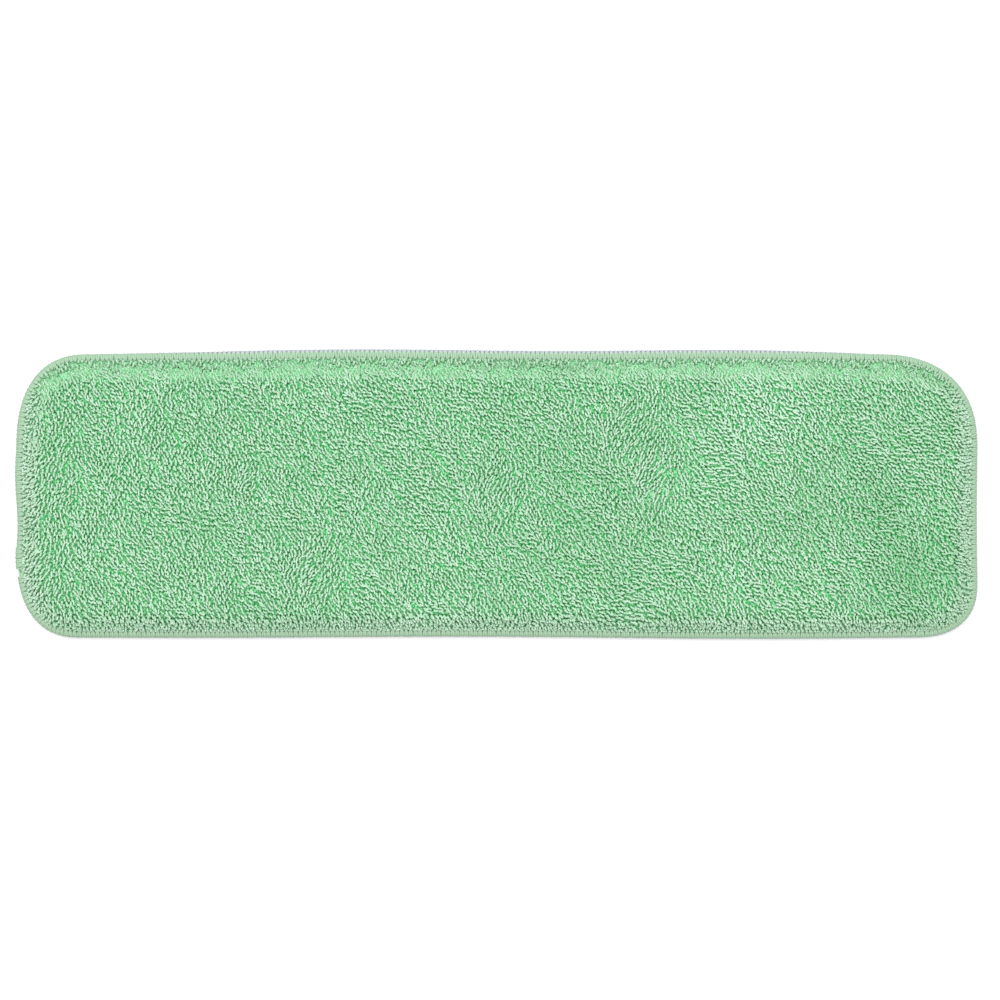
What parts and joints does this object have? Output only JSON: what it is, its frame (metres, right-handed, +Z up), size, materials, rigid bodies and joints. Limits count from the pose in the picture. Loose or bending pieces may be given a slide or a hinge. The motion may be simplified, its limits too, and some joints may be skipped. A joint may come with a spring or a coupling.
{
  "type": "flat mop pad",
  "caption": "Flat microfibre mop pad with rounded corners: looped green pile face, absorbent core and hook-and-loop backing, held together by an overlocked edge.",
  "frame": {"origin": "middle of the flat underside of the loop backing, under the middle of the pad's outline", "axes": "+X along the pad's length, +Y across its width towards the gently bowed long edge, +Z up out of the pile"},
  "size_m": [0.4704, 0.1414, 0.012],
  "materials": {
    "green_microfibre_pile": "dense soft loop pile, matt with a faint sheen",
    "white_wadding": "soft matt wadding",
    "white_brushed_loop": "brushed knit loops, matt",
    "pale_green_thread": "textured polyester thread, soft sheen",
    "white_thread": "textured polyester thread, soft sheen",
    "green_thread": "spun polyester thread, soft sheen"
  },
  "bodies": {
    "root": {"pile_face": "green_microfibre_pile", "absorbent_core": "white_wadding", "loop_backing": "white_brushed_loop", "overlock_upper_looper_thread": "pale_green_thread", "overlock_lower_looper_thread": "white_thread", "overlock_needle_thread": "green_thread"}
  },
  "joints": []
}
